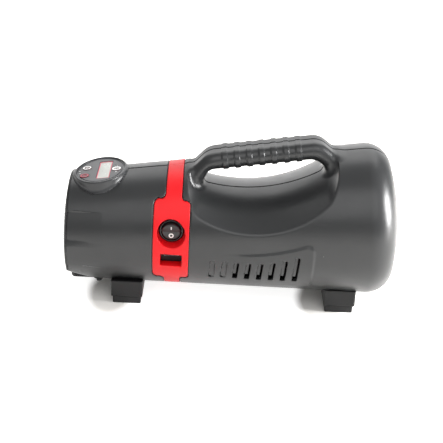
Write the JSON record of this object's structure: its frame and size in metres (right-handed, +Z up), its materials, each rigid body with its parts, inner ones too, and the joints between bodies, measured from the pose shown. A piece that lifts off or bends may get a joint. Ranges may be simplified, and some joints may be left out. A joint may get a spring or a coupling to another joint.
{
  "type": "jump starter pack",
  "caption": "Cone-bodied car jump starter and tyre inflator with a top handle, nose lamp, side switch, USB socket, cooling slots and two feet.",
  "frame": {"origin": "centre of the bounding box in plan, on the ground under the feet", "axes": "+X from the lamp to the rear end, +Y to the side with the jump socket, +Z up"},
  "size_m": [0.299, 0.1338, 0.1501],
  "materials": {
    "case_plastic": "satin moulded dark grey",
    "trim_plastic": "satin moulded red",
    "black_plastic": "fine textured black",
    "gloss_black": "polished black",
    "pad_rubber": "dull moulded rubber",
    "display_gloss": "glossy dark grey film",
    "lcd_film": "pale backlit display film",
    "lens_clear": "clear",
    "reflector_metal": "vacuum metallised",
    "led_yellow": "clear over yellow phosphor",
    "circuit_board": "green solder mask",
    "steel": "bright zinc plated",
    "brass": "turned",
    "aluminium": "die cast",
    "armature_iron": "laminated iron and enamelled wire",
    "cell_wrap": "heat shrunk sleeve",
    "socket_blue": "moulded blue",
    "gear_plastic": "natural acetal",
    "hose_rubber": "braided rubber"
  },
  "bodies": {
    "case": {"switch_side_shell": "case_plastic", "outlet_side_shell": "case_plastic", "switch_side_saddle": "case_plastic", "outlet_side_saddle": "case_plastic", "switch_side_handle": "case_plastic", "outlet_side_handle": "case_plastic", "switch_side_posts": "case_plastic", "outlet_side_posts": "case_plastic", "switch_side_trim": "trim_plastic", "outlet_side_trim": "trim_plastic", "front_bezel": "case_plastic", "lamp_lens": "lens_clear", "lamp_reflector": "reflector_metal", "lamp_board": "circuit_board", "lamp_leds": "led_yellow", "display_pod": "gloss_black", "display_face": "display_gloss", "lcd_module": "lcd_film", "display_board": "circuit_board", "switch_side_baffle": "black_plastic", "outlet_side_baffle": "black_plastic", "switch_body": "gloss_black", "usb_socket": "black_plastic", "usb_board": "circuit_board", "jump_socket": "socket_blue", "charge_jack": "black_plastic", "air_outlet": "brass", "front_foot": "black_plastic", "rear_foot": "black_plastic", "front_pad": "pad_rubber", "rear_pad": "pad_rubber", "foot_screws": "steel", "shell_screws": "steel", "prop_pin": "steel", "battery_cells": "cell_wrap", "cell_holders": "black_plastic", "bus_bars": "steel", "main_board": "circuit_board", "power_relay": "black_plastic", "capacitors": "gloss_black", "inflator_frame": "aluminium", "motor_can": "steel", "motor_bushes": "brass", "crank_bearing": "steel", "pump_cylinder": "aluminium", "cylinder_head": "aluminium", "air_hose": "hose_rubber"},
    "rocker": {"switch_rocker": "gloss_black"},
    "mode_key": {"mode_button": "display_gloss"},
    "unit_key": {"unit_button": "display_gloss"},
    "power_key": {"power_button": "display_gloss"},
    "cap": {"socket_cap": "pad_rubber"},
    "leg": {"prop_leg": "black_plastic"},
    "rotor": {"motor_armature": "armature_iron", "cooling_fan": "black_plastic", "motor_pinion": "steel"},
    "crank": {"crank_gear": "gear_plastic"},
    "piston": {"piston_rod": "aluminium"}
  },
  "joints": [
    {"name": "rocker_tilt", "type": "hinge", "parent": "case", "child": "rocker", "pos_m": [-0.04945, -0.045, 0.0777], "axis": [1, 0, 0], "range_deg": [-20, 0]},
    {"name": "mode_press", "type": "slide", "parent": "case", "child": "mode_key", "axis": [0.1406, 0, -0.9901], "range_m": [0, 0.0006], "stiffness_N_per_m": 300, "springref_m": -0.0004},
    {"name": "unit_press", "type": "slide", "parent": "case", "child": "unit_key", "axis": [0.1406, 0, -0.9901], "range_m": [0, 0.0006], "stiffness_N_per_m": 300, "springref_m": -0.0004},
    {"name": "power_press", "type": "slide", "parent": "case", "child": "power_key", "axis": [0.1406, 0, -0.9901], "range_m": [0, 0.0006], "stiffness_N_per_m": 300, "springref_m": -0.0004},
    {"name": "cap_open", "type": "hinge", "parent": "case", "child": "cap", "pos_m": [-0.04945, 0.0563, 0.0746], "axis": [1, 0, 0], "range_deg": [0, 110]},
    {"name": "leg_fold", "type": "hinge", "parent": "case", "child": "leg", "pos_m": [-0.116, 0, 0.0103], "axis": [0, -1, 0], "range_deg": [0, 80]},
    {"name": "motor_spin", "type": "hinge", "parent": "case", "child": "rotor", "pos_m": [0, 0.02, 0.05127], "axis": [1, 0, 0], "continuous": true},
    {"name": "crank_spin", "type": "hinge", "parent": "case", "child": "crank", "pos_m": [0.03, 0, 0.038], "axis": [1, 0, 0], "continuous": true},
    {"name": "piston_slide", "type": "slide", "parent": "case", "child": "piston", "axis": [0, 0, 1], "range_m": [-0.014, 0]}
  ],
  "couplings": [
    {"joint": "crank_spin", "follows": "motor_spin", "ratio": -0.2}
  ]
}
